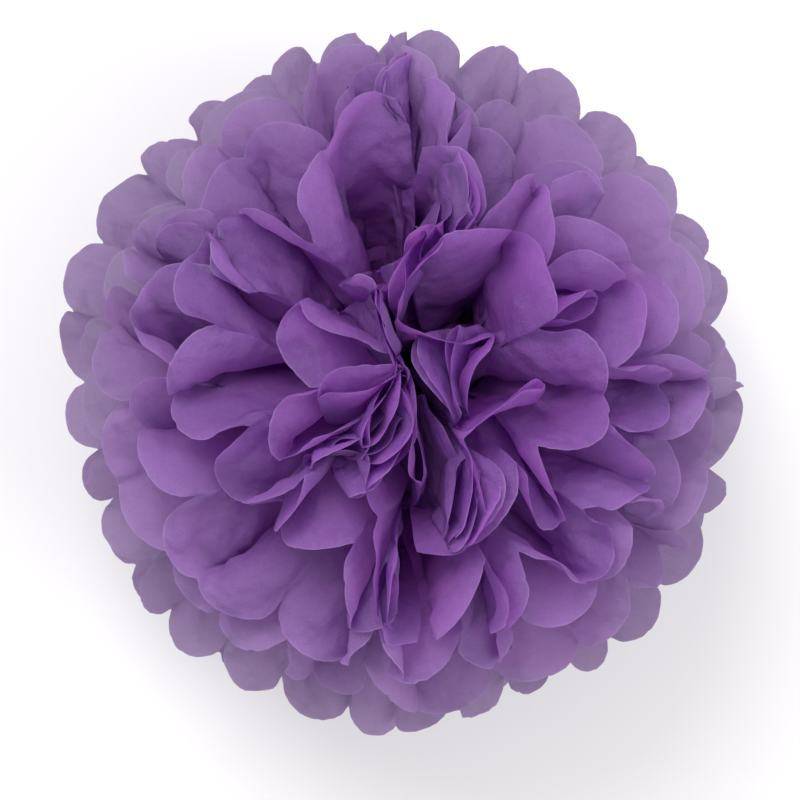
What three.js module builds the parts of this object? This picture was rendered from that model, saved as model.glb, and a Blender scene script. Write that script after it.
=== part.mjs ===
// A tissue paper pom pom, lying on a table with its bloom facing up.
//
// The real one is a stack of tissue sheets, accordion-folded together into a narrow strip, pinched at
// mid-length by a twisted wire and cut round at both ends. Each sheet is then peeled away from the
// stack: half of them up, half of them down. Every sheet becomes two pleated half fans joined by a
// narrow waist, and the tips of all the fans together make a ball.
//
// Frame: millimetres, +Z up along the axis of the bloom, origin on the table under the middle of the
// ball. The folded strip ran along X, so the two half fans of a sheet open towards +X and -X and the
// seams between them lie in the YZ plane.

import * as THREE from "three";

// ---------------------------------------------------------------- driving dimensions

const SHEET_COUNT = 12; // half of them peeled up, half peeled down
const SHEET_WIDTH = 500; // one sheet, across the pleats
const STRIP_LENGTH = 250; // one sheet, from cut end to cut end
const PANELS = 16; // accordion panels across one sheet
const NOTCH_DEPTH = 12; // how far the round cut runs back at each crease
const PAPER = 0.4; // modelled thickness; real tissue is about 0.04
const TIE_HEIGHT = 106; // the pinch above the table; the lowest petals lie bent flat below it

const WAIST_PITCH = 1; // from one sheet to the next in the pinched bundle
const WAIST_REACH = 3.2; // flat length of the innermost waist on each side of the wire
const REACH_STEP = 0.6; // how much further each waist deeper in the stack stays flat
const BUNDLE_RADIUS = 6.8; // half width of the pinched bundle
const SEAM_HALF_GAP = 2; // from the seam's plane to a fan's edge at its tip

const FIRST_OPENING = 12; // degrees from the axis to the first and the last sheet
const DEEPEST_PLEAT = 14; // degrees from a pleat's middle to its crease, the most there is room for
const FULL_DEPTH_FROM = 35; // distance from the tie where that depth is reached
const PRESSED_PLEAT = 3; // the same where the table presses the last sheet
const NARROW_SHARE = 0.5; // the share of that depth that the two sheets at the poles have room for
const MITRE_LIMIT = 0.5; // at a crease the paper's surfaces move out by at most 1 / this much more

const WIRE_RADIUS = 0.5;
const WIRE_CLEARANCE = 0.4;
const PIGTAIL_LENGTH = 14;
const PIGTAIL_TURNS = 3;
const TWIST_START = 2.2; // from the loop round the bundle to the first turn of the pigtail
const LOOP_OPENING = 24; // degrees on each side of +Y where the loop leaves for the pigtail

const PETAL_LENGTH = STRIP_LENGTH / 2;
const PANEL_WIDTH = SHEET_WIDTH / PANELS;
const FLOOR_SKIN = PAPER / 2; // the middle of a sheet that lies on the table
const HALF = SHEET_COUNT / 2;
const OPENING_STEP = (180 - 2 * FIRST_OPENING) / (SHEET_COUNT - 1);

// Distances from the waist's end at which a fan gets a row of points, before the row along its cut edge.
const ROWS = [10, FULL_DEPTH_FROM, 85];
// Where the cut edge of one panel gets its points, as shares of the panel's width.
const EDGE_SHARES = [0, 0.12, 0.5, 0.88, 1];

const PAPER_PURPLE = new THREE.MeshStandardMaterial({
  color: 0x764892,
  roughness: 0.95,
  metalness: 0,
});
const WIRE_WHITE = new THREE.MeshStandardMaterial({
  color: 0xd8d6d0,
  roughness: 0.7,
  metalness: 0,
});

const radians = THREE.MathUtils.degToRad;
const degrees = THREE.MathUtils.radToDeg;

// ---------------------------------------------------------------- the path of one sheet

// Sheet 0 is the innermost of the upper half, and the last sheet the innermost of the lower half.
function openingOf(sheet) {
  return FIRST_OPENING + OPENING_STEP * sheet;
}

// How many sheets lie between this one and its own pole.
function depthInHalf(sheet) {
  return Math.min(sheet, SHEET_COUNT - 1 - sheet);
}

function waistHeight(sheet) {
  return ((SHEET_COUNT - 1) / 2 - sheet) * WAIST_PITCH;
}

// The bundle is round, so the sheets in the middle of the stack are wider at the waist.
function waistHalfWidth(sheet) {
  return Math.sqrt(BUNDLE_RADIUS ** 2 - waistHeight(sheet) ** 2);
}

function waistReach(sheet) {
  return WAIST_REACH + REACH_STEP * depthInHalf(sheet);
}

// How far round a half fan opens on each side of the X axis, in degrees. It is a little over a
// quarter turn, so that its edges come in from the waist's reach and close the seam at the tips.
function fanQuarter(sheet) {
  const tipReach = PETAL_LENGTH * Math.sin(radians(openingOf(sheet)));
  return 90 + degrees(Math.asin((waistReach(sheet) - SEAM_HALF_GAP) / tipReach));
}

// Half the depth of the pleats at a distance from the tie, in degrees seen from the tie. The paper
// keeps its width, so a pleat is as deep as its panel allows once the fan's spread is taken off.
function pleatHalfAngle(sheet, distance, pressed) {
  const fanArc = Math.PI * distance * Math.sin(radians(openingOf(sheet)));
  const spread = fanArc / PANELS;
  const depth = Math.sqrt(PANEL_WIDTH ** 2 - spread ** 2) / 2;
  const nearTie = Math.min(1, distance / FULL_DEPTH_FROM);
  const room = DEEPEST_PLEAT * nearTie * (depthInHalf(sheet) === 0 ? NARROW_SHARE : 1);
  return Math.min(degrees(depth / distance), room, pressed ? PRESSED_PLEAT : room);
}

// A point of the sheet's middle surface. side is 1 for the fan towards +X and -1 for the other,
// across runs from 0 to PANELS over the pleats.
function fanPoint(sheet, side, across, distance, pressed = false) {
  const crease = Math.floor(across);
  const fold = crease % 2 === 0 ? 1 : -1;
  const share = across - crease;
  const lean = fold * (1 - 2 * share) * pleatHalfAngle(sheet, distance, pressed);
  const polar = radians(openingOf(sheet) + lean);
  const azimuth = radians(fanQuarter(sheet) * ((2 * across) / PANELS - 1));
  const out = new THREE.Vector3(
    side * Math.sin(polar) * Math.cos(azimuth),
    Math.sin(polar) * Math.sin(azimuth),
    Math.cos(polar),
  );
  return waistPoint(sheet, side, across, 1).addScaledVector(out, distance);
}

// A point of the flat waist: share runs from 0 under the wire to 1 where the fan begins.
function waistPoint(sheet, side, across, share) {
  return new THREE.Vector3(
    side * waistReach(sheet) * share,
    waistHalfWidth(sheet) * ((2 * across) / PANELS - 1),
    TIE_HEIGHT + waistHeight(sheet),
  );
}

// How far from the waist's end the round cut runs, at a place across the pleats. A panel's end is
// nearly a half ellipse, and the paper's length is counted from under the wire.
function cutDistance(sheet, across) {
  const fromMiddle = Math.abs(2 * (across - Math.floor(across)) - 1);
  const notch = 1 - (1 - fromMiddle ** 2.3) ** 0.75;
  return PETAL_LENGTH - waistReach(sheet) - NOTCH_DEPTH * notch;
}

// A petal that reaches the table bends there, and its end lies flat, pointing outwards.
function onTable(sheet, side, across) {
  const high = fanPoint(sheet, side, across, ROWS.at(-1), true);
  const low = fanPoint(sheet, side, across, cutDistance(sheet, across), true);
  if (low.z >= FLOOR_SKIN) return null;
  const contact = high.clone().lerp(low, (high.z - FLOOR_SKIN) / (high.z - low.z));
  contact.z = FLOOR_SKIN;
  const outwards = new THREE.Vector3(contact.x, contact.y, 0).normalize();
  const end = contact.clone().addScaledVector(outwards, contact.distanceTo(low));
  return { contact, end };
}

// The rows of points of one half fan, from the row next to the wire's own row to the cut edge.
function fanRows(sheet, side) {
  const creases = Array.from({ length: PANELS + 1 }, (_, j) => j);
  const rows = [creases.map((j) => waistPoint(sheet, side, j, 1))];
  for (const distance of ROWS) {
    rows.push(creases.map((j) => fanPoint(sheet, side, j, distance)));
  }
  const edge = [];
  for (let j = 0; j < PANELS; j++) {
    for (const share of EDGE_SHARES.slice(0, -1)) edge.push(j + share);
  }
  edge.push(PANELS);
  const bent = sheet === SHEET_COUNT - 1;
  if (bent) rows.push(edge.map((across) => onTable(sheet, side, across).contact));
  rows.push(
    edge.map((across) => {
      const lying = bent ? onTable(sheet, side, across).end : null;
      const free = fanPoint(sheet, side, across, cutDistance(sheet, across));
      free.z = Math.max(free.z, FLOOR_SKIN);
      return lying ?? free;
    }),
  );
  return rows;
}

// ---------------------------------------------------------------- from rows of points to a solid

// Triangles between two rows whose point counts are equal, or where the second row has a whole
// number of points for each step of the first.
function stitch(lower, upper, faces) {
  const ratio = (upper.length - 1) / (lower.length - 1);
  for (let j = 0; j + 1 < lower.length; j++) {
    const first = j * ratio;
    const middle = first + Math.floor(ratio / 2);
    for (let i = first; i < middle; i++) faces.push([lower[j], upper[i + 1], upper[i]]);
    faces.push([lower[j], lower[j + 1], upper[middle]]);
    for (let i = middle; i < first + ratio; i++) {
      faces.push([lower[j + 1], upper[i + 1], upper[i]]);
    }
  }
}

// One sheet's middle surface: both half fans and the waist between them, as points and triangles.
function sheetSurface(sheet) {
  const points = [];
  const faces = [];
  const keep = (row) => row.map((p) => points.push(p) - 1);
  const creases = Array.from({ length: PANELS + 1 }, (_, j) => j);
  const underWire = keep(creases.map((j) => waistPoint(sheet, 1, j, 0)));
  const border = [];
  for (const side of [1, -1]) {
    const rows = [underWire, ...fanRows(sheet, side).map(keep)];
    const found = [];
    for (let r = 0; r + 1 < rows.length; r++) stitch(rows[r], rows[r + 1], found);
    // The fan towards -X is a mirror image, so its triangles are turned over.
    faces.push(...found.map(([a, b, c]) => (side === 1 ? [a, b, c] : [a, c, b])));
    border.push(rows);
  }
  // Clockwise from above, as the triangles run.
  const [right, left] = border;
  const outline = [
    ...left.slice(1).map((row) => row[0]),
    ...left.at(-1).slice(1, -1),
    ...left.slice(1).map((row) => row.at(-1)).reverse(),
    ...right.map((row) => row.at(-1)),
    ...right.at(-1).slice(1, -1).reverse(),
    ...right.map((row) => row[0]).reverse(),
  ];
  return { points, faces, outline };
}

// Vertex normals, stretched at the creases so that the walls beside a crease keep their thickness.
function offsets(points, faces) {
  const sums = points.map(() => new THREE.Vector3());
  const around = points.map(() => []);
  for (const face of faces) {
    const [a, b, c] = face.map((i) => points[i]);
    const normal = b.clone().sub(a).cross(c.clone().sub(a)).normalize();
    for (const i of face) {
      sums[i].add(normal);
      around[i].push(normal);
    }
  }
  return sums.map((sum, i) => {
    const normal = sum.normalize();
    const tightest = Math.min(...around[i].map((n) => n.dot(normal)));
    return normal.multiplyScalar(PAPER / 2 / Math.max(tightest, MITRE_LIMIT));
  });
}

// The middle surface given its thickness, as one closed geometry.
function thicken({ points, faces, outline }) {
  const shift = offsets(points, faces);
  const above = points.map((p, i) => p.clone().add(shift[i]));
  const below = points.map((p, i) => p.clone().sub(shift[i]));
  const count = points.length;
  const index = [];
  for (const [a, b, c] of faces) index.push(a, b, c, count + a, count + c, count + b);
  outline.forEach((a, i) => {
    const b = outline[(i + 1) % outline.length];
    index.push(a, count + a, count + b, a, count + b, b);
  });
  const position = [...above, ...below].flatMap((p) => [p.x, p.y, Math.max(p.z, 0)]);
  const geometry = new THREE.BufferGeometry();
  geometry.setAttribute("position", new THREE.Float32BufferAttribute(position, 3));
  geometry.setIndex(index);
  geometry.computeVertexNormals();
  return geometry;
}

function tissueSheet(sheet) {
  const half = sheet < HALF ? "upper" : "lower";
  const layer = depthInHalf(sheet) + 1;
  const mesh = new THREE.Mesh(thicken(sheetSurface(sheet)), PAPER_PURPLE);
  mesh.name = `${half}_sheet_${layer}`;
  return mesh;
}

// ---------------------------------------------------------------- the wire tie

// One length of wire: in along the pigtail, once round the bundle, and out along the pigtail again.
// The pigtail points along +Y, into the seam between the two half fans.
function tieCurve() {
  const loopRadius = BUNDLE_RADIUS + PAPER / 2 + WIRE_CLEARANCE + WIRE_RADIUS;
  const helixRadius = WIRE_RADIUS * 1.15;
  const stepsPerTurn = 8;
  const helixSteps = PIGTAIL_TURNS * stepsPerTurn;
  const helixStart = loopRadius + TWIST_START;
  const strand = (phase) =>
    Array.from({ length: helixSteps + 1 }, (_, i) => {
      const turn = (2 * Math.PI * i) / stepsPerTurn + phase;
      const along = helixStart + (PIGTAIL_LENGTH * i) / helixSteps;
      return new THREE.Vector3(
        helixRadius * Math.sin(turn),
        along,
        TIE_HEIGHT + helixRadius * Math.cos(turn),
      );
    });
  // The loop starts and ends a little either side of +Y, where the twist closes it.
  const loopSteps = 20;
  const loop = Array.from({ length: loopSteps + 1 }, (_, i) => {
    const angle = radians(LOOP_OPENING + ((360 - 2 * LOOP_OPENING) * i) / loopSteps);
    return new THREE.Vector3(
      0,
      loopRadius * Math.cos(angle),
      TIE_HEIGHT + loopRadius * Math.sin(angle),
    );
  });
  return new THREE.CatmullRomCurve3(
    [...strand(0).reverse(), ...loop, ...strand(Math.PI)],
    false,
    "centripetal",
  );
}

function tieWire() {
  const sides = 8;
  const section = new THREE.Shape(
    Array.from({ length: sides }, (_, i) => {
      const angle = (2 * Math.PI * i) / sides;
      return new THREE.Vector2(WIRE_RADIUS * Math.cos(angle), WIRE_RADIUS * Math.sin(angle));
    }),
  );
  const geometry = new THREE.ExtrudeGeometry(section, {
    steps: 80,
    extrudePath: tieCurve(),
    bevelEnabled: false,
  });
  const mesh = new THREE.Mesh(geometry, WIRE_WHITE);
  mesh.name = "tie_wire";
  return mesh;
}

// ---------------------------------------------------------------- the whole pom pom

const pomPom = new THREE.Group();
pomPom.name = "tissue_pom_pom";
for (let sheet = 0; sheet < SHEET_COUNT; sheet++) pomPom.add(tissueSheet(sheet));
pomPom.add(tieWire());

export default pomPom;
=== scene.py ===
# %% [markdown]
# # A tissue paper pom pom
# The real thing is twelve sheets of tissue, folded together like a fan, pinched in the middle by a
# wire and cut round at both ends. Peeling the sheets apart, six up and six down, makes the ball.
# There are two ways to get such a shape: place hundreds of petals by hand, or fold the sheets as a
# person does and let the paper find its own place. This script does the second. It starts with
# regular pleated fans, then lets a small paper simulation push, bend and crowd them.

# %% Load the frame
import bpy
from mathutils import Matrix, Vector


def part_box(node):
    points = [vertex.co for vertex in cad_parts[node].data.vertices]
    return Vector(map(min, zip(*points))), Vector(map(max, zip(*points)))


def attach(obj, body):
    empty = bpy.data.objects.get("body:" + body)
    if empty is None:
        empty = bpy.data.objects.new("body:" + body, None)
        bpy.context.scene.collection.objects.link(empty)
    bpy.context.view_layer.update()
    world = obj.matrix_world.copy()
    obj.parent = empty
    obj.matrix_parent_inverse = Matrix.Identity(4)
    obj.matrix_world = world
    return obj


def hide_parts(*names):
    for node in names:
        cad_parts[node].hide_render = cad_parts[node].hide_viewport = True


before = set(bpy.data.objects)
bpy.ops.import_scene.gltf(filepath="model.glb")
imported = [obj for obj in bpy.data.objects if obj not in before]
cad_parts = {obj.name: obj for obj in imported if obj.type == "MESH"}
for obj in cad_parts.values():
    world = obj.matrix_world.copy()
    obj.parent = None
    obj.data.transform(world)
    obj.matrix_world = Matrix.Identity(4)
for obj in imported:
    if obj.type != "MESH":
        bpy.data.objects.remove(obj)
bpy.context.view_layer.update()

# %% Import what the lesson needs
import math

import bpy
import numpy as np
from mathutils import Vector

rng = np.random.default_rng(55)

# %% [markdown]
# ## The driving dimensions
# The paper is worked out in millimetres, because its folds are a few millimetres to a few
# centimetres, and turned into metres when a mesh is made. The tie's place comes from the frame.
# Everything else follows from the size of a sheet and the number of its folds.

# %% Name the sizes
MM_PER_M = 1000.0
SHEETS = 12
PANELS = 16
SHEET_WIDTH = 500.0
STRIP_LENGTH = 250.0
PANEL_WIDTH = SHEET_WIDTH / PANELS
PETAL_LENGTH = STRIP_LENGTH / 2
NOTCH_DEPTH = 12.0

wire_low, wire_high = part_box("tie_wire")
TIE_HEIGHT = MM_PER_M * (wire_low[2] + wire_high[2]) / 2
BUNDLE_RADIUS = 6.8
WAIST_PITCH = 1.0
LIFT_OFF_FLOOR = 0.3

print("tie at", round(TIE_HEIGHT, 1), "mm, panels", PANEL_WIDTH, "mm wide")

# %% Order the sheets from the upper pole to the lower
node_names = [f"upper_sheet_{k}" for k in range(1, 7)] + [f"lower_sheet_{k}" for k in range(6, 0, -1)]
number = np.arange(SHEETS)
layer = np.minimum(number, SHEETS - 1 - number)
upper_opening = np.array([6, 19, 32, 44, 58, 78])
opening = np.radians(np.concatenate([upper_opening, 180 - upper_opening[::-1]]))
waist_height = ((SHEETS - 1) / 2 - number) * WAIST_PITCH
waist_reach = 3.2 + 0.6 * layer
waist_half_width = np.sqrt(BUNDLE_RADIUS**2 - waist_height**2)
print("sheets open to", np.degrees(opening).round(), "degrees from the upper pole")

# %% [markdown]
# ## One sheet, flat
# Every sheet is a grid of points: columns run across the pleats, rows run from the tie to the cut
# edge. Columns stand closer together beside a crease, because the paper bends most there and
# because the round cut is steepest there. Each sheet slipped a little in the stack when it was
# cut, and the scissors bit deeper at some creases than at others, so no two edges are the same.

# %% Lay the grid out flat
STEPS = 6  # columns in one panel
ROWS = 22
FIRST_ROW = 6.0  # distance of the first free row from the waist
COLUMNS = PANELS * STEPS + 1

even_steps = np.arange(STEPS) / STEPS
crowded_steps = 0.5 - 0.5 * np.cos(np.pi * even_steps)
in_panel = 0.35 * even_steps + 0.65 * crowded_steps
across = np.append((np.arange(PANELS)[:, None] + in_panel).ravel(), PANELS)
panel_of = np.minimum(np.floor(across).astype(int), PANELS - 1)
share = across - panel_of


def between_creases(values, smooth=False):
    """Spreads one value per crease over the columns between the creases."""
    f = share * share * (3 - 2 * share) if smooth else share
    return values[..., panel_of] * (1 - f) + values[..., panel_of + 1] * f


print(COLUMNS, "columns, the closest", round(PANEL_WIDTH * np.diff(across).min(), 1), "mm apart")

# %% Cut the ends of the panels round
from_middle = np.abs(2 * share - 1)
round_end = 1 - (1 - from_middle**2.3) ** 0.75
bite = between_creases(rng.uniform(0.55, 1.0, (SHEETS, PANELS + 1)))
slip = rng.normal(0, 0.8, (SHEETS, 1))
slip = slip + between_creases(rng.normal(0, 0.7, (SHEETS, PANELS + 1)), True)
cut = PETAL_LENGTH - waist_reach[:, None] - NOTCH_DEPTH * bite * round_end - slip
row_share = np.linspace(0, 1, ROWS)[:, None]
along = FIRST_ROW + (cut[:, None, :] - FIRST_ROW) * row_share
flat = np.stack([np.broadcast_to(across * PANEL_WIDTH, along.shape), along], axis=-1)
along = along[:, None].astype(np.float32)
flat = flat[:, None]
print("grid of", ROWS, "rows and", COLUMNS, "columns for each of", 2 * SHEETS, "half fans")

# %% [markdown]
# ## The pleated fans
# A fan of paper can't be wider than its sheet. Near the tie the pleats stand deep and close, and
# towards the cut edge they open, because the arc gets longer while a panel keeps its width: the
# depth of a pleat is the other side of a right-angled triangle whose long side is the panel. All
# the sheets were folded together, so their pleats nest in each other. The creases that point out
# of the ball stay on one smooth cone, and only the others go deep, which keeps the petals full.

# %% Say how deep the pleats stand
SIDES = np.array([1.0, -1.0])  # towards +X and towards -X
FOLD = np.where(np.arange(PANELS + 1) % 2 == 0, 1.0, -1.0)
OUTSIDE = np.where(number < SHEETS / 2, 1.0, -1.0)  # the creases of this sign lie deep in the ball
DEEPEST = np.choose(np.minimum(layer, 2), [9.0, 16.0, 20.0])  # degrees, near the poles less room
FULL_DEPTH_FROM = 35.0


def pleat_angle(spread, s):
    """How deep a panel of a given spread stands, as an angle seen from the tie, in degrees."""
    angle = np.degrees(np.sqrt(np.maximum(PANEL_WIDTH**2 - spread**2, 0)) / s)
    return np.minimum(angle, 2 * DEEPEST[:, None, None, None]) * np.minimum(1, s / FULL_DEPTH_FROM)


def waists(reach_share):
    """The row of points where each half fan leaves its flat waist, or a share of the way there."""
    row = np.zeros((SHEETS, 2, COLUMNS, 3))
    row[..., 0] = reach_share * SIDES[:, None] * waist_reach[:, None, None]
    row[..., 1] = waist_half_width[:, None, None] * (2 * across / PANELS - 1)
    row[..., 2] = TIE_HEIGHT + waist_height[:, None, None]
    return row


print("pleats stand up to", DEEPEST.max(), "degrees to each side of their middle")

# %% Give every point its angle from the pole
FANNED_OUT = (10, 75)  # the distances between which uneven widths come in


def ramp(x, start, end):
    """0 below start, 1 above end, smooth between."""
    f = np.clip((x - start) / (end - start), 0, 1)
    return (f * f * (3 - 2 * f)).astype(np.float32)


def polar_angles(tilt, depth, curl, width):
    """Tilt and curl hold degrees for each crease, depth a share of the paper's own pleat depth,
    and width how wide each panel opens, one on average."""
    theta = opening[:, None, None, None]
    at_panel, at_crease = along[..., STEPS // 2 :: STEPS], along[..., ::STEPS]
    even = math.pi * np.sin(theta) / PANELS
    uneven_width = 1 + (width[:, :, None] - 1) * ramp(at_panel, *FANNED_OUT)
    wave = pleat_angle(even * at_panel * uneven_width, at_panel)
    mean_wave = pleat_angle(even * at_crease, at_crease)
    pair = np.concatenate([wave[..., :1], (wave[..., :-1] + wave[..., 1:]) / 2, wave[..., -1:]], axis=-1)
    deep = FOLD == OUTSIDE[:, None]
    level = np.where(deep[:, None, None], pair - mean_wave / 2, -mean_wave / 2)
    lean = between_creases(OUTSIDE[:, None, None, None] * level * depth[:, :, None])
    lean = lean + between_creases(tilt)[:, :, None] * (along / PETAL_LENGTH) ** 1.5
    bend = np.clip((along - 55) / 70, 0, 1) ** 2
    return theta + np.radians(lean + between_creases(curl, True)[:, :, None] * bend)


print("widths come in from", FANNED_OUT[0], "to", FANNED_OUT[1], "mm")

# %% Give every point its angle round the ball, and place it
def azimuth_angles(swing, width, seam):
    """Swing holds degrees for each crease. Seam is how far past the middle, at its cut edge, each
    half fan ends."""
    past = (waist_reach[:, None, None] + seam) / (PETAL_LENGTH * np.sin(opening))[:, None, None]
    quarter = math.pi / 2 + np.arcsin(np.clip(past, -0.7, 0.7))[:, :, None, None]
    shares = np.concatenate([np.zeros((SHEETS, 2, 1)), np.cumsum(width, axis=-1)], axis=-1)
    shares = between_creases(shares / shares[..., -1:])[:, :, None]
    turn = np.radians(between_creases(swing)[:, :, None]) * np.minimum(1, along / 60)
    opened = ramp(along, *FANNED_OUT)
    shares = across / PANELS * (1 - opened) + shares * opened
    return quarter[..., 1] * shares - quarter[..., 0] * (1 - shares) + turn


def half_fans(tilt, swing, depth, curl, width, seam):
    """Points of all half fans, (sheet, side, row, column, xyz)."""
    polar = polar_angles(tilt, depth, curl, width)
    azimuth = azimuth_angles(swing, width, seam)
    outwards = np.stack(
        [
            SIDES[None, :, None, None] * np.sin(polar) * np.cos(azimuth),
            np.sin(polar) * np.sin(azimuth),
            np.cos(polar) + 0 * azimuth,
        ],
        axis=-1,
    )
    points = waists(1.0)[:, :, None] + outwards * along[..., None]
    points[..., 2] = np.maximum(points[..., 2], LIFT_OFF_FLOOR)
    return points.astype(np.float32)


print("half fans reach", PETAL_LENGTH, "mm from the tie, before the round cut")

# %% [markdown]
# ## How a hand fluffs the paper
# Fingers never open two folds alike. Each crease gets its own tilt, swing, depth and tip curl,
# drawn from a seeded generator so that every run makes the same ball. Sheets that lie together in
# the stack share part of these, as they shared the same folding. The sheets of the open face, which
# are handled most, are the loosest, and the sheets at the rim are the tidiest.

# %% Draw the tilt, swing and depth of every crease
ACROSS_STACK = (SHEETS, 2, PANELS + 1)
loose = np.choose(layer, [1.9, 1.6, 1.2, 0.9, 0.6, 0.4])[:, None, None]


def uneven(spread, shared):
    """One random value per crease, partly shared by the whole stack."""
    own = rng.normal(0, 1, ACROSS_STACK)
    common = rng.normal(0, 1, (1, 2, PANELS + 1))
    return spread * (math.sqrt(1 - shared) * own + math.sqrt(shared) * common)


# The petals of every other sheet are turned a little, so that they show between their neighbours.
between_notches = 2.8 * np.sqrt(np.sin(math.pi * np.arange(PANELS + 1) / PANELS))
every_other = np.where(number % 2 == 0, 1.0, -1.0)[:, None, None]

tilt = uneven(4.0, 0.2) * loose
swing = uneven(2.5, 0.4) * loose + every_other * between_notches
depth = np.clip(1.0 + uneven(0.15, 0.2), 0.15, 1.5)
print("tilts from", tilt.min().round(1), "to", tilt.max().round(1), "degrees")

# %% Draw how wide each panel opens
HABIT = 0.5  # how much a sheet opens like the one above it
WIDEST = 0.96  # a panel can't open wider than its paper


def panel_widths(unevenness):
    """How wide each panel opens, one on average. The two panels beside a deep crease open alike."""
    fresh = rng.normal(0, 1, (SHEETS, 2, PANELS // 2 + 1))
    habit = fresh.copy()
    for k in range(1, SHEETS):
        habit[k] = HABIT * habit[k - 1] + math.sqrt(1 - HABIT**2) * fresh[k]
    panel = np.arange(PANELS)
    pair = np.where(OUTSIDE[:, None] > 0, (panel + 1) // 2, panel // 2)
    width = np.exp(unevenness[:, None, None] * np.take_along_axis(habit, pair[:, None], axis=-1))
    most = WIDEST * PANELS * PANEL_WIDTH / (math.pi * PETAL_LENGTH * np.sin(opening))
    for _ in range(20):
        width = np.minimum(width / width.mean(axis=-1, keepdims=True), most[:, None, None])
    return width


width = panel_widths(np.choose(layer, [0.7, 0.8, 0.7, 0.5, 0.3, 0.12]))
print("panels open", width.min().round(2), "to", width.max().round(2), "times the average")

# %% Curl the tips, outwards near the poles
tip_curl = np.interp(number, [0, 1, 3, 5, 6, 8, 10, 11], [-2, 14, 18, 4, -4, -16, -12, -8])
curl = uneven(9.0, 0.1) * loose + tip_curl[:, None, None]
print("tips curl by", tip_curl.round(), "degrees")

# %% [markdown]
# ## Where the two halves of a sheet meet
# A sheet makes two half fans, and if all of them met in one plane, a straight slit would run over
# the ball. A person closes it by pulling the edges over each other. Here the halves of every sheet
# meet a little to one side, and those of the next sheet to the other side, as bricks are laid. At
# the outer sheets the edges also overlap.

# %% Set the seams a little off the middle
seam_reach = np.choose(layer, [9, 12, 9, 8, 8, 8])[:, None]
stagger = np.where((number[:, None] + [0, 1]) % 2 == 0, 1.0, -1.0)
seam_offset = stagger * rng.uniform(0.5, 1, (SHEETS, 2)) * seam_reach  # at the front and at the back
seam_overlap = np.choose(layer, [0, 1, 2, 3, 3, 3])[:, None, None, None]
tilt[..., [0, -1]] += 4.0 * SIDES[:, None] * stagger[:, None]
seam_ends = 8.0 - SIDES[:, None] * seam_offset[:, None]
print("seams up to", np.abs(seam_offset).max().round(1), "mm off the middle")

# %% Place the planned fans, and the regular ones to start from
aim = half_fans(tilt, swing, depth, curl, width, seam_ends)
none = np.zeros(ACROSS_STACK)
even_widths = np.ones((SHEETS, 2, PANELS))
paper = half_fans(none, none, none + 1, none, even_widths, np.full((SHEETS, 2, 2), -2.0))
print("plans drawn for", tilt.size, "creases")

# %% [markdown]
# ## Rules of paper
# Paper hardly stretches, crumples a little more easily, stays flat inside a panel and remembers its
# creases. Each rule becomes a wished-for distance between two points of the grid. The solver visits
# all pairs of a kind at once and moves both points, a method called position based dynamics.
# Blender's own cloth would need the sheets to start well apart. Here they start nested in each
# other, a millimetre apart, so the rules are written out in numpy.

# %% Measure the wished-for distances on the flat sheet
def gap_between(a, b):
    return np.linalg.norm(b - a, axis=-1).astype(np.float32)


rest_across = gap_between(flat[..., :-1, :], flat[..., 1:, :])
rest_along = gap_between(flat[:, :, :-1], flat[:, :, 1:])
rest_rising = gap_between(flat[:, :, :-1, :-1], flat[:, :, 1:, 1:])
rest_falling = gap_between(flat[:, :, :-1, 1:], flat[:, :, 1:, :-1])
rest_bend_across = gap_between(flat[..., :-2, :], flat[..., 2:, :])
rest_panel_half = gap_between(flat[..., :-3, :], flat[..., 3:, :])
rest_bend_along = gap_between(flat[:, :, :-2], flat[:, :, 2:])
rest_straight = gap_between(flat[:, :, :-5], flat[:, :, 5:])
rest_panel = gap_between(flat[..., :-STEPS:STEPS, :], flat[..., STEPS::STEPS, :])

print("distances kept:", sum(r.size for r in (rest_across, rest_along, rest_rising, rest_falling)))

# %% Let the creases open unevenly
# A panel may be cupped a little, and a crease is sharp near the tie and soft at the cut edge.
rest_panel = rest_panel * (1 - 0.05 * rng.uniform(0, 1, (SHEETS, 2, 1, PANELS))).astype(np.float32)
softness = np.choose(layer, [0.93, 0.88, 0.82, 0.76, 0.74, 0.74])[:, None, None, None]
soft_fold = np.clip(rng.normal(softness, 0.10, (SHEETS, 2, 1, PANELS - 1)), 0.4, 1.0)
crease_columns = np.arange(1, PANELS) * STEPS
openness = 0.35 + (soft_fold - 0.35) * ramp(along[..., crease_columns], 20, 110)
rest_bend_across = np.repeat(rest_bend_across, 2, axis=1)
rest_bend_across[..., crease_columns - 1] *= openness.astype(np.float32)
print("softest fold", soft_fold.max().round(2), "and sharpest", soft_fold.min().round(2))

# %% Say how firmly each rule is kept
# Close to the tie the paper is free to crumple.
firm_stretch = ramp(along, 4, 20)
firm_squeeze = 0.6 * ramp(along, 18, 60)
firm_bend_across = 0.5 * ramp(along[..., 1:-1], 20, 60)
firm_bend_across[..., crease_columns - 1] *= 0.3
inside_panel = np.arange(COLUMNS - 3) % STEPS <= STEPS - 3
firm_half_panel = 0.6 * inside_panel * ramp(along[..., :-3], 20, 60)
firm_panel = 0.5 * ramp(along[..., :-STEPS:STEPS], 25, 70)
print("stretch kept firmly on", round(100 * float((firm_stretch > 0.9).mean())), "% of the grid")

# %% Move pairs of points towards their wished-for distances
def settle(a, b, rest, stretch, squeeze):
    """Moves the points of a and b, which share none, by half of each pair's error."""
    line = b - a
    length = np.sqrt(np.einsum("...i,...i->...", line, line))
    error = length - rest
    firm = np.where(error > 0, stretch, squeeze)
    step = (0.5 * firm * error / np.maximum(length, 1e-6))[..., None] * line
    a += step
    b -= step


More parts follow.
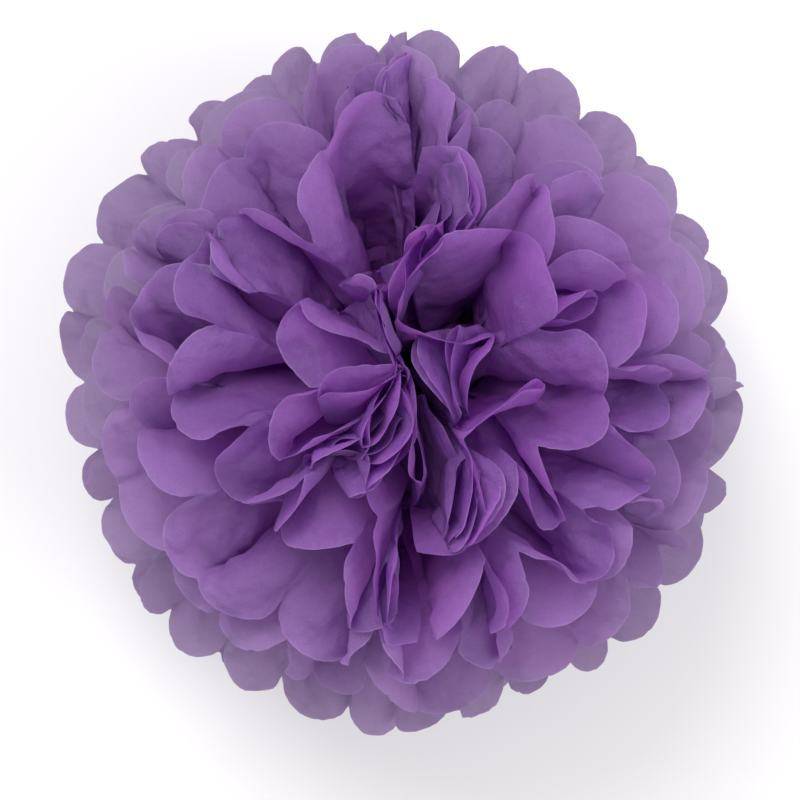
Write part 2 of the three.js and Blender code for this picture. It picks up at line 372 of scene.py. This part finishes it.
def settle_softly(points, axis, reach, rest, firm):
    """The same for chains of points that overlap, with a smaller step."""
    if axis == 2:
        a, b = points[:, :, :-reach], points[:, :, reach:]
    else:
        a, b = points[:, :, :, :-reach], points[:, :, :, reach:]
    line = b - a
    length = np.sqrt(np.einsum("...i,...i->...", line, line))
    step = (0.25 * firm * (length - rest) / np.maximum(length, 1e-6))[..., None] * line
    a += step
    b -= step


print("solver steps ready")

# %% Keep all the rules once
def keep_diagonals(points, odd):
    """The paper's shear: both diagonals of the cells of every other row."""
    upper, lower = points[:, :, odd:-1:2], points[:, :, odd + 1 :: 2]
    squeeze = 0.3 * firm_squeeze[:, :, odd:-1:2]
    settle(upper[:, :, :, :-1], lower[:, :, :, 1:], rest_rising[:, :, odd::2], 0.6, squeeze[..., :-1])
    settle(upper[:, :, :, 1:], lower[:, :, :, :-1], rest_falling[:, :, odd::2], 0.6, squeeze[..., 1:])


def keep_paper_rules(points, pinned):
    """One round of all the distances inside the sheets."""
    settle_softly(points, 3, 2, rest_bend_across, firm_bend_across)
    settle_softly(points, 2, 2, rest_bend_along, 0.5)
    settle_softly(points, 2, 5, rest_straight, 0.3)
    settle_softly(points, 3, 3, rest_panel_half, firm_half_panel)
    creases = points[:, :, :, ::STEPS]
    for odd in (0, 1):
        settle(
            creases[:, :, :, odd:-1:2],
            creases[:, :, :, odd + 1 :: 2],
            rest_panel[..., odd::2],
            0.0,
            firm_panel[..., odd::2],
        )
    for odd in (0, 1):
        keep_diagonals(points, odd)
    for odd in (0, 1):
        settle(
            points[:, :, :, odd:-1:2],
            points[:, :, :, odd + 1 :: 2],
            rest_across[..., odd::2],
            firm_stretch[..., odd:-1:2],
            firm_squeeze[..., odd:-1:2],
        )
    for odd in (0, 1):
        settle(points[:, :, odd:-1:2], points[:, :, odd + 1 :: 2], rest_along[:, :, odd::2], 1.0, 0.8)
    points[:, :, :2] = pinned


print("the two rows next to the waist stay pinned")

# %% [markdown]
# ## Sheets pushed back to their own side
# Paper layers slide on each other and don't swap places. For every point the solver keeps track of
# the nearest point of the sheet above and of the sheet below, by looking only at the neighbours of
# the last nearest one, which is much quicker than a search from nothing. A point that gets too close
# to the other sheet, or passes through it, is pushed back along that sheet's normal.
#
# The push is soft and looks only at points, so it doesn't clear every crossing. Neighbouring sheets
# still cut through each other, most of all between 20 and 60 mm from the tie, where they are crowded.

# %% Follow the nearest point of the neighbouring sheet
class Nearest:
    """For each point of some sheets, the row and column of the nearest point of the sheets beside."""

    def __init__(self, sheets):
        place = (sheets, 2, ROWS, COLUMNS)
        self.row = np.broadcast_to(np.arange(ROWS)[:, None], place).copy()
        self.column = np.broadcast_to(np.arange(COLUMNS), place).copy()
        self.first = (np.arange(sheets * 2) * ROWS * COLUMNS).reshape(sheets, 2, 1, 1)

    def pick(self, row, column):
        return self.first + row * COLUMNS + column

    def update(self, points, others):
        others = others.reshape(-1, 3)
        best = np.full(points.shape[:-1], np.inf, np.float32)
        row, column = self.row, self.column
        for down in (-1, 0, 1):
            for right in (-1, 0, 1):
                r = np.clip(self.row + down, 0, ROWS - 1)
                c = np.clip(self.column + right, 0, COLUMNS - 1)
                away = points - others[self.pick(r, c)]
                distance = np.einsum("...i,...i->...", away, away)
                better = distance < best
                best = np.where(better, distance, best)
                row = np.where(better, r, row)
                column = np.where(better, c, column)
        self.row, self.column = row, column


print("each point looks at", 3 * 3, "neighbours in a round")

# %% Push sheets that touch apart
THIN_GAP = 0.15 + 0.022 * along[:-1]  # tissue stands looser towards its tips
TOUCH_REACH = 7.0  # a point this far beside the other sheet's nearest point doesn't touch it


def sheet_normals(points):
    """Unit normals of all sheets, turned towards the upper pole of the ball."""
    down_rows = np.gradient(points, axis=2)
    along_columns = np.gradient(points, axis=3)
    normal = np.cross(down_rows, along_columns) * SIDES[None, :, None, None, None].astype(np.float32)
    return normal / np.maximum(np.linalg.norm(normal, axis=-1, keepdims=True), 1e-6)


def keep_order(points, others, normals, nearest, towards):
    """Pushes points to their own side of the sheet beside: towards is 1 above it and -1 below."""
    picked = nearest.pick(nearest.row, nearest.column)
    away = points - others.reshape(-1, 3)[picked]
    normal = normals.reshape(-1, 3)[picked]
    gap = towards * np.einsum("...i,...i->...", away, normal)
    beside = np.einsum("...i,...i->...", away, away) - gap * gap
    push = np.clip(THIN_GAP - gap, 0, 1.5) * (beside < TOUCH_REACH**2) * 0.5
    points += (towards * push)[..., None] * normal


print("sheets stay", THIN_GAP.min().round(2), "to", THIN_GAP.max().round(2), "mm apart")

# %% [markdown]
# ## The seams and the table
# The two half fans of one sheet push against each other where they meet. Each stays on its side of
# a wavy seam that runs a little off the middle, and its side edge is drawn up to that seam so that
# no gap shows. No point may sink into the table.

# %% Keep each half fan on its side of a wavy seam
seam_phase = rng.uniform(0, 2 * math.pi, 2)
SIDE_EDGES = [0, COLUMNS - 1]


def keep_seam_and_floor(points):
    """Pushes points back to their side of the seam, and up to the table."""
    y, z = points[..., 1], points[..., 2] - TIE_HEIGHT
    radius = np.sqrt(y * y + z * z) / PETAL_LENGTH
    angle = np.arctan2(y, z)
    at_front, at_back = seam_offset[:, :1, None, None], seam_offset[:, 1:, None, None]
    blend = 0.5 + 0.5 * np.tanh(y / 10)
    waves = 5 * np.sin(5 * angle + seam_phase[0]) + 4 * np.sin(9 * angle + seam_phase[1])
    seam = radius**1.2 * (at_front * (1 - blend) + at_back * blend + waves)
    side = SIDES[None, :, None, None].astype(np.float32)
    inside = side * (points[..., 0] - seam) + seam_overlap * radius
    clearance = 0.25 + 0.002 * along
    push = np.maximum(clearance - inside, 0) * 0.5
    draw = 0.25 * ramp(along, 8, 40) * np.minimum(clearance - inside, 0)
    push[..., SIDE_EDGES] += draw[..., SIDE_EDGES]
    points[..., 0] += side * push
    points[..., 2] = np.maximum(points[..., 2], LIFT_OFF_FLOOR)


print("seam waves start at", seam_phase.round(2), "radians")

# %% [markdown]
# ## Letting the paper settle
# Each round moves the paper on with most of its speed, draws it a little towards the planned
# places, and then applies the rules. The drawing fades out, so that the end shape is the paper's
# own. A few hundred rounds take less than a minute.

# %% Run the simulation
ROUNDS = 300
SPEED_KEPT = 0.9
FASTEST = 1.5  # millimetres in one round
DRAWN_AT_FIRST = 0.05  # share of the way to the plan, in one round
DRAWN_AT_LAST = 0.004


def settle_paper(points):
    pinned = points[:, :, :2].copy()
    before = points.copy()
    above, below = Nearest(SHEETS - 1), Nearest(SHEETS - 1)
    for turn in range(ROUNDS):
        speed = np.clip(SPEED_KEPT * (points - before), -FASTEST, FASTEST)
        before = points.copy()
        points += speed
        points += (DRAWN_AT_FIRST * (1 - turn / ROUNDS) + DRAWN_AT_LAST) * (aim - points)
        keep_paper_rules(points, pinned)
        keep_paper_rules(points, pinned)
        if turn % 3 == 0:
            above.update(points[:-1], points[1:])
            below.update(points[1:], points[:-1])
        normals = sheet_normals(points)
        keep_order(points[:-1], points[1:], normals[1:], above, 1.0)
        keep_order(points[1:], points[:-1], normals[:-1], below, -1.0)
        keep_seam_and_floor(points)
        points[:, :, :2] = pinned
    return points


paper = settle_paper(paper)
print("petals reach", np.abs(paper[..., :2]).max().round(1), "mm from the middle")

# %% [markdown]
# ## Wrinkles
# Tissue that has been folded, peeled and pulled is never smooth. Its wrinkles are a few
# millimetres across and less than a millimetre deep. The solver's grid is too coarse to crumple by
# itself, so each point moves a little in or out of its sheet, most of all on the outer sheets.

# %% Wrinkle the paper
CRUMPLE = np.choose(layer, [0.30, 0.40, 0.50, 0.60, 0.70, 0.75])[:, None, None, None]  # millimetres

wrinkles = CRUMPLE * ramp(along, 20, 60) * rng.normal(0, 1, paper.shape[:-1])
paper += wrinkles[..., None].astype(np.float32) * sheet_normals(paper)
stretch = gap_between(paper[..., :-1, :], paper[..., 1:, :])[:, :, 12:] / rest_across[:, :, 12:]
print("strain across the pleats, 1 %, 50 % and 99 %:", np.percentile(stretch, [1, 50, 99]).round(2))

# %% [markdown]
# ## From the grid to a smooth surface
# The simulated points stand about five millimetres apart. Smooth curves through them give the fine
# surface: a Catmull-Rom curve is a weighted sum of four neighbours, so one matrix for the rows and
# one for the columns refines a whole sheet. Across a crease the curve is mostly broken, so that
# folds stay crisp without being knife-sharp.

# %% Build the refining matrices
def smooth_curve(count, finer):
    """Matrix that turns count points into finer times as many steps of a smooth curve."""
    matrix = np.zeros(((count - 1) * finer + 1, count))
    for i, row in enumerate(matrix):
        k = min(i // finer, count - 2)
        t = i / finer - k
        weights = (
            -0.5 * t**3 + t**2 - 0.5 * t,
            1.5 * t**3 - 2.5 * t**2 + 1,
            -1.5 * t**3 + 2 * t**2 + 0.5 * t,
            0.5 * t**3 - 0.5 * t**2,
        )
        for j, weight in zip(range(k - 1, k + 3), weights):
            # Past an end, the curve goes on straight.
            if j < 0:
                row[:2] += weight * np.array([2, -1])
            elif j >= count:
                row[-2:] += weight * np.array([-1, 2])
            else:
                row[j] += weight
    return matrix


print("halfway between two points, the weights are", smooth_curve(4, 2)[3])

# %% Break the curves at the creases
FINER_ACROSS = 4
FINER_ALONG = 2
CREASE_SOFTNESS = 0.25  # 0 breaks the curve fully at a crease, 1 not at all


def creased_curve(finer, softness):
    """The same for the columns, with the curve partly broken at each crease."""
    unbroken = smooth_curve(COLUMNS, finer)
    broken = np.zeros_like(unbroken)
    panel = smooth_curve(STEPS + 1, finer)
    for k in range(PANELS):
        rows = slice(k * STEPS * finer, (k + 1) * STEPS * finer + 1)
        broken[rows, k * STEPS : (k + 1) * STEPS + 1] = panel
    return softness * unbroken + (1 - softness) * broken


refine_rows = smooth_curve(ROWS, FINER_ALONG)
refine_columns = creased_curve(FINER_ACROSS, CREASE_SOFTNESS)


def refined(values):
    """Refines an array of (row, column, ...) values."""
    values = np.tensordot(refine_rows, values, axes=(1, 0))
    return np.moveaxis(np.tensordot(refine_columns, values, axes=(1, 1)), 0, 1)


print("fine grid", refine_rows.shape[0], "rows,", refine_columns.shape[0], "columns for each half fan")

# %% [markdown]
# ## The tissue pieces
# Each sheet becomes one mesh: the half fan towards -X, the waist under the wire, and the half fan
# towards +X. It stays a single layer of faces, as tissue is only a few hundredths of a millimetre
# thick. The scissors left the cut edge slightly ragged. The flat place of every point is kept as
# an attribute, so that the fibres of the material lie in the paper and bend with it, and so are
# the masks of painted light and shade: paler tips over a shaded base, and a painted backlight
# that greys the outer sheets.

# %% Gather the points of one sheet
fine_across = refine_columns @ across * PANEL_WIDTH
LOWEST = 0.1  # millimetres above the table


def ragged_cut(count):
    """How far the scissors strayed at each point of a cut edge, in millimetres."""
    bites = rng.normal(0, 0.10, (count, 1))
    nicks = rng.uniform(0, 1, (count, 1)) < 0.02
    return bites - 0.6 * nicks


def sheet_rows(k):
    """All points of sheet k and their flat places, row by row from one cut end to the other."""
    halves, flats = [], []
    for side in (0, 1):
        distance = refined(flat[k, 0, ..., 1]) + waist_reach[k]
        place = np.stack([np.broadcast_to(fine_across, distance.shape), distance], axis=-1)
        halves.append(refined(paper[k, side].astype(float)))
        flats.append(place)
    for half in halves:
        last = half[-1] - half[-2]
        half[-1] += last / np.linalg.norm(last, axis=-1, keepdims=True) * ragged_cut(len(last))
    waist = [refine_columns @ waists(share)[k, side] for share, side in ((1, 1), (0, 0), (1, 0))]
    middle = np.zeros((3, len(fine_across), 2))
    middle[..., 0] = fine_across
    middle[..., 1] = np.array([-1, 0, 1])[:, None] * waist_reach[k]
    points = np.concatenate([halves[1][::-1], waist, halves[0]])
    points[..., 2] = np.maximum(points[..., 2], LOWEST)
    back = flats[1][::-1] * np.array([1, -1])
    return points, np.concatenate([back, middle, flats[0]])


def flat_area(k):
    """Area of sheet k before folding, in square metres, with its round cut ends taken off."""
    ends = np.interp(fine_across, across * PANEL_WIDTH, cut[k] + waist_reach[k])
    half_fan = np.sum((ends[1:] + ends[:-1]) / 2 * np.diff(fine_across))
    return 2 * half_fan / MM_PER_M**2


print("flat areas", [round(flat_area(k), 4) for k in range(SHEETS)], "square metres")

# %% Turn one sheet into a mesh
TIP_LIGHT_LENGTH = 0.060  # how far from the cut edge the painted tip light reaches, in metres
PALE_TIPS = np.interp(range(SHEETS // 2), [0, 1, 2, 5], [0.66, 0.70, 0.78, 0.87])  # strength of the painted tip light, from pole to rim


def keep_attribute(mesh, name, kind, field, values):
    """Stores one value per point on a mesh, for its material to read."""
    attribute = mesh.attributes.new(name, kind, "POINT")
    attribute.data.foreach_set(field, np.ascontiguousarray(values, np.float32).ravel())


def sheet_mesh(k, name):
    """The mesh of sheet k, with its flat place and its masks of painted light and shade stored on its
    points.
    """
    points, places = sheet_rows(k)
    rows, columns = points.shape[:2]
    corner = (np.arange(rows - 1)[:, None] * columns + np.arange(columns - 1)).ravel()
    quads = np.stack([corner, corner + 1, corner + columns + 1, corner + columns], axis=-1)
    mesh = bpy.data.meshes.new(name)
    mesh.from_pydata((points.reshape(-1, 3) / MM_PER_M).tolist(), [], quads.tolist())
    mesh.shade_smooth()
    places = places / MM_PER_M
    end = np.where(places[..., 1] > 0, places[-1:, :, 1], -places[:1, :, 1])
    from_cut = end - np.abs(places[..., 1])
    # Painted light and shade along a petal: tip rises from 0, some way in from the cut, to 1 at the cut
    # edge. It lightens the tips and leaves painted shade at the base.
    tip = np.clip(1 - from_cut / TIP_LIGHT_LENGTH, 0, 1)
    # Painted backlight: the outer sheets, which stand at the rim, are made paler and greyer, as if lit
    # through from behind, most of all at their tips.
    backlight_by_sheet = (layer[k] / layer.max()) ** 2
    facts = np.stack([places[..., 0], places[..., 1], np.full((rows, columns), 0.7 * k)], axis=-1)
    keep_attribute(mesh, "flat_place", "FLOAT_VECTOR", "vector", facts)
    keep_attribute(mesh, "from_cut", "FLOAT", "value", from_cut)
    keep_attribute(mesh, "pale", "FLOAT", "value", tip * PALE_TIPS[layer[k]])
    keep_attribute(mesh, "painted_backlight", "FLOAT", "value", backlight_by_sheet * (0.35 + 0.6 * tip))
    return mesh


# Prints how far in from the cut edge the painted tip light reaches.
print("painted tip light reaches over the last", TIP_LIGHT_LENGTH * MM_PER_M, "mm")

# %% Add the twelve sheets
tissues = []
for k, node in enumerate(node_names):
    name = node.replace("sheet", "tissue")
    piece = bpy.data.objects.new(name, sheet_mesh(k, name))
    bpy.context.collection.objects.link(piece)
    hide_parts(node)
    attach(piece, "root")
    tissues.append(piece)
print(len(tissues), "sheets,", sum(len(t.data.polygons) for t in tissues), "quads")

# %% [markdown]
# ## What tissue paper looks like
# Tissue is dyed fibre pulp, rolled thin. Close by it has a cloudy, mottled face with fine flecks
# of fibre, and shallow dents from handling. A cut edge shows lighter, partly from its loose fibres
# and partly as a painted highlight where light catches the thin edge. Both effects are made
# once, as node groups that only put out masks, and placed in the materials that need them.

# %% Helpers for node trees
def new_group(name, inputs, outputs):
    """An empty node group with float or vector sockets, and its input and output nodes."""
    group = bpy.data.node_groups.new(name, "ShaderNodeTree")
    for label, kind, value in inputs:
        socket = group.interface.new_socket(name=label, in_out="INPUT", socket_type=kind)
        if value is not None:
            socket.default_value = value
    for label, kind in outputs:
        group.interface.new_socket(name=label, in_out="OUTPUT", socket_type=kind)
    return group, group.nodes.new("NodeGroupInput"), group.nodes.new("NodeGroupOutput")


def add_node(tree, kind, settings=None, **inputs):
    """A node with its settings and the values or links of its named inputs."""
    node = tree.nodes.new(kind)
    for key, value in (settings or {}).items():
        setattr(node, key, value)
    for label, value in inputs.items():
        socket = node.inputs[label.replace("_", " ")]
        if isinstance(value, bpy.types.NodeSocket):
            tree.links.new(value, socket)
        else:
            socket.default_value = value
    return node


def maths(tree, operation, first, second=0.0, clamp=False):
    node = tree.nodes.new("ShaderNodeMath")
    node.operation = operation
    node.use_clamp = clamp
    for socket, value in zip(node.inputs, (first, second)):
        if isinstance(value, bpy.types.NodeSocket):
            tree.links.new(value, socket)
        else:
            socket.default_value = value
    return node.outputs[0]


def noise(tree, place, scale, detail=3.0, roughness=0.55):
    sizes = dict(Scale=scale, Detail=detail, Roughness=roughness)
    node = add_node(tree, "ShaderNodeTexNoise", Vector=place, **sizes)
    return node.outputs["Fac"]


def stretched(tree, mask, contrast):
    """Pushes a mask away from its middle value, as noise seldom gets near 0 or 1."""
    spread = maths(tree, "MULTIPLY_ADD", mask, contrast)
    spread.node.inputs[2].default_value = 0.5 - 0.5 * contrast
    spread.node.use_clamp = True
    return spread


print("node helpers ready")

# %% Node group: clouds, flecks and dents in the pulp
def make_pulp_group():
    """Masks for the pulp's clouds, flecks and dents, from a place on the flat sheet in metres."""
    outputs = [(label, "NodeSocketFloat") for label in ("Clouds", "Fibres", "Dents")]
    group, given, result = new_group("pulp", [("Place", "NodeSocketVector", None)], outputs)
    place = given.outputs["Place"]
    drawn_out = add_node(group, "ShaderNodeVectorMath", {"operation": "MULTIPLY"})
    group.links.new(place, drawn_out.inputs[0])
    drawn_out.inputs[1].default_value = (1.0, 0.8, 1.0)
    clouds = stretched(group, noise(group, place, 420.0, 3.0, 0.65), 3.0)
    fibres = stretched(group, noise(group, drawn_out.outputs[0], 1400.0, 2.0, 0.6), 5.0)
    soft_dents = noise(group, place, 70.0, 2.0, 0.5)
    folds = add_node(group, "ShaderNodeTexVoronoi", Vector=place, Scale=55.0).outputs["Distance"]
    dents = maths(group, "ADD", soft_dents, maths(group, "MULTIPLY", folds, 0.25))
    for label, mask in (("Clouds", clouds), ("Fibres", fibres), ("Dents", dents)):
        group.links.new(mask, result.inputs[label])
    return group


pulp_group = make_pulp_group()
print("node group:", pulp_group.name, "with", len(pulp_group.nodes), "nodes")

# %% Node group: the strip along a cut, for its loose fibres and painted highlight
def make_cut_edge_group():
    """Mask of the thin strip along a cut edge, from the distance to the cut in metres."""
    sockets = [("From Cut", "NodeSocketFloat", 0.0), ("Width", "NodeSocketFloat", 0.001)]
    group, given, result = new_group("cut_edge", sockets, [("Edge", "NodeSocketFloat")])
    depth = maths(group, "DIVIDE", given.outputs["From Cut"], given.outputs["Width"])
    edge = maths(group, "SUBTRACT", 1.0, depth, clamp=True)
    group.links.new(edge, result.inputs["Edge"])
    return group


cut_edge_group = make_cut_edge_group()
print("node group:", cut_edge_group.name, "with", len(cut_edge_group.nodes), "nodes")

# %% [markdown]
# ## The purple tissue
# Light does two things on tissue: part of it scatters back from the face, and part of it goes
# through and lights the far side. A Principled shader makes the first and a Translucent shader the
# second, mixed by how thin the paper is. The light that passes from petal to petal deepens the
# purple in the middle by itself. On top of that, the colour carries painted shade, deepest at the
# base of a petal, and painted light, paler at its tip. The outer sheets of the stack get a painted
# backlight that greys them, their tips most of all.

# %% Mix the colours, with painted shade and painted light
# The tip colour is painted light and the base colour is painted shade, along each petal.
LIT_TIP = (0.300, 0.165, 0.460)
SHADED_BASE = (0.290, 0.060, 0.410)
# The next colour is a painted backlight, a paler grey that stands in for light coming through the outer
# sheets.
PAINTED_BACKLIGHT_COLOUR = (0.350, 0.275, 0.430)
# The cut edge colour is partly the edge's loose fibres and partly a painted highlight.
CUT_EDGE_FIBRES_AND_HIGHLIGHT = (0.460, 0.330, 0.600)
# The light that goes through is split into tip and base by the same painted light and shade.
SHOWS_THROUGH_TIP = (0.410, 0.155, 0.600)
SHOWS_THROUGH_BASE = (0.590, 0.112, 0.700)
# The painted backlight again, for the light that goes through the paper.
PAINTED_BACKLIGHT_THROUGH = (0.410, 0.290, 0.500)


def shade(colour):
    """A colour as a socket takes it."""
    return (*colour, 1.0)


def blend(tree, share, first, second):
    """A colour between first and second."""
    node = tree.nodes.new("ShaderNodeMix")
    node.data_type = "RGBA"
    for index, value in ((0, share), (6, first), (7, second)):
        if isinstance(value, bpy.types.NodeSocket):
            tree.links.new(value, node.inputs[index])
        else:
            node.inputs[index].default_value = value
    return node.outputs[2]


print("base and tip:", SHADED_BASE, LIT_TIP)

# %% Make the tissue material
THINNESS = 0.53  # share of the light that goes through
FLECKS = 0.36  # how far the flecks and clouds shift the colour between the painted shade of the base and the painted light of the tip
CUT_EDGE_WIDTH = 0.0006
FIBRE_RELIEF = 0.00010
DENT_DEPTH = 0.006


def new_material(name):
    material = bpy.data.materials.new(name)
    material.use_nodes = True
    tree = material.node_tree
    tree.nodes.clear()
    return material, tree, tree.nodes.new("ShaderNodeOutputMaterial")


def attribute(tree, name):
    return add_node(tree, "ShaderNodeAttribute", {"attribute_name": name})


def tissue_material():
    material, tree, output = new_material("purple_tissue")
    pulp = add_node(tree, "ShaderNodeGroup", {"node_tree": pulp_group})
    tree.links.new(attribute(tree, "flat_place").outputs["Vector"], pulp.inputs["Place"])
    edge = add_node(tree, "ShaderNodeGroup", {"node_tree": cut_edge_group})
    tree.links.new(attribute(tree, "from_cut").outputs["Fac"], edge.inputs["From Cut"])
    edge.inputs["Width"].default_value = CUT_EDGE_WIDTH

    flecks = maths(tree, "ADD", pulp.outputs["Clouds"], pulp.outputs["Fibres"])
    flecks = maths(tree, "MULTIPLY", maths(tree, "SUBTRACT", flecks, 1.0), FLECKS)
    pale = attribute(tree, "pale").outputs["Fac"]
    painted_backlight = attribute(tree, "painted_backlight").outputs["Fac"]
    # Painted shade at a petal's base and painted light at its tip, shifted by the flecks and clouds.
    shade_to_light = blend(tree, maths(tree, "ADD", pale, flecks, clamp=True), shade(SHADED_BASE), shade(LIT_TIP))
    # Painted backlight greys the outer sheets, their tips most of all.
    mottled_with_painted_light = blend(tree, painted_backlight, shade_to_light, shade(PAINTED_BACKLIGHT_COLOUR))
    # A lighter strip along the cut: partly loose fibres, partly a painted highlight.
    edge_fibres_and_highlight = maths(tree, "MULTIPLY", edge.outputs["Edge"], 0.9)
    colour = blend(tree, edge_fibres_and_highlight, mottled_with_painted_light, shade(CUT_EDGE_FIBRES_AND_HIGHLIGHT))

    relief = maths(tree, "MULTIPLY", pulp.outputs["Fibres"], FIBRE_RELIEF)
    height = maths(tree, "MULTIPLY_ADD", pulp.outputs["Dents"], DENT_DEPTH)
    tree.links.new(relief, height.node.inputs[2])
    bump = add_node(tree, "ShaderNodeBump", Height=height, Strength=1.0)
    bump.inputs["Distance"].default_value = 1.0

    face = add_node(tree, "ShaderNodeBsdfPrincipled", Base_Color=colour, Normal=bump.outputs[0])
    face.inputs["Roughness"].default_value = 0.75
    face.inputs["Specular IOR Level"].default_value = 0.25
    through = add_node(tree, "ShaderNodeBsdfTranslucent", Normal=bump.outputs[0])
    # The light that goes through follows the painted shade and light from base to tip.
    light = blend(tree, pale, shade(SHOWS_THROUGH_BASE), shade(SHOWS_THROUGH_TIP))
    # The painted backlight also greys the light that goes through the outer sheets.
    light = blend(tree, painted_backlight, light, shade(PAINTED_BACKLIGHT_THROUGH))
    tree.links.new(light, through.inputs["Color"])
    both = add_node(tree, "ShaderNodeMixShader", Fac=THINNESS)
    tree.links.new(face.outputs[0], both.inputs[1])
    tree.links.new(through.outputs[0], both.inputs[2])
    tree.links.new(both.outputs[0], output.inputs["Surface"])
    return material


tissue = tissue_material()
for piece in tissues:
    piece.data.materials.append(tissue)
print("material:", tissue.name)

# %% [markdown]
# ## The wire
# The tie is a length of white florist's wire, hardly ever seen, deep between the petals. Its CAD
# shape is right, so it only gets a finish: a slightly uneven, matt paint.

# %% Paint the wire
def wire_material():
    material, tree, output = new_material("white_wire")
    place = add_node(tree, "ShaderNodeTexCoord").outputs["Object"]
    worn = noise(tree, place, 900.0)
    colour = blend(tree, worn, shade((0.62, 0.60, 0.56)), shade((0.78, 0.77, 0.74)))
    bump = add_node(tree, "ShaderNodeBump", Height=worn, Strength=0.2)
    bump.inputs["Distance"].default_value = 0.0001
    paint = add_node(tree, "ShaderNodeBsdfPrincipled", Base_Color=colour, Normal=bump.outputs[0])
    paint.inputs["Roughness"].default_value = 0.6
    tree.links.new(paint.outputs[0], output.inputs["Surface"])
    return material


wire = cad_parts["tie_wire"]
wire.data.materials.clear()
wire.data.materials.append(wire_material())
for polygon in wire.data.polygons:
    polygon.material_index = 0
print("wire painted")

# %% [markdown]
# ## Floor, light and camera
# The ball lies on a pale table with its bloom up, and the camera looks down on it. Large soft
# lights keep the petals' shading gentle, and the pale table sends light up through the rim.

# %% Lay the floor
def stage_floor():
    size = 3.0
    mesh = bpy.data.meshes.new("floor")
    corners = [(-size, -size, 0), (size, -size, 0), (size, size, 0), (-size, size, 0)]
    mesh.from_pydata(corners, [], [(0, 1, 2, 3)])
    floor = bpy.data.objects.new("floor", mesh)
    bpy.context.collection.objects.link(floor)
    material, tree, output = new_material("pale_table")
    paint = add_node(tree, "ShaderNodeBsdfPrincipled")
    paint.inputs["Base Color"].default_value = (0.86, 0.85, 0.86, 1)
    paint.inputs["Roughness"].default_value = 0.9
    tree.links.new(paint.outputs[0], output.inputs["Surface"])
    mesh.materials.append(material)


stage_floor()
print("floor at z = 0")

# %% Hang the lights
ball_centre = Vector((0, 0, TIE_HEIGHT / MM_PER_M))


def soft_light(name, place, size, power):
    light = bpy.data.lights.new(name, "AREA")
    light.shape = "DISK"
    light.size = size
    light.energy = power
    lamp = bpy.data.objects.new(name, light)
    bpy.context.collection.objects.link(lamp)
    lamp.location = place
    lamp.rotation_euler = (ball_centre - lamp.location).to_track_quat("-Z", "Y").to_euler()


soft_light("key", (-0.45, 0.75, 1.35), 0.9, 15)
soft_light("fill", (0.95, -0.35, 1.10), 1.0, 7.5)

world = bpy.data.worlds.new("room")
world.use_nodes = True
world.node_tree.nodes["Background"].inputs["Color"].default_value = (1, 1, 1, 1)
world.node_tree.nodes["Background"].inputs["Strength"].default_value = 0.78
bpy.context.scene.world = world
bpy.context.scene.view_settings.view_transform = "Standard"
print("lights hung")

# %% Aim the camera
CAMERA_DISTANCE = 0.9
FRAME_WIDTH = 0.2730  # what the frame shows across, at the distance of the ball's middle
SENSOR_WIDTH = 36.0
LEAN_SIDEWAYS = math.radians(-3.0)
LEAN_BACK = math.radians(1.6)

lens = bpy.data.cameras.new("camera")
lens.sensor_width = SENSOR_WIDTH
lens.lens = SENSOR_WIDTH * CAMERA_DISTANCE / FRAME_WIDTH
camera = bpy.data.objects.new("camera", lens)
bpy.context.collection.objects.link(camera)
towards_camera = Vector((math.sin(LEAN_SIDEWAYS), math.sin(LEAN_BACK), 1)).normalized()
aim_point = ball_centre + Vector((-0.0003, -0.0079, 0))
camera.location = aim_point + CAMERA_DISTANCE * towards_camera
camera.rotation_euler = (-math.atan2(towards_camera.y, towards_camera.z), math.asin(towards_camera.x), 0)
bpy.context.scene.camera = camera
print("camera at", [round(c, 3) for c in camera.location])
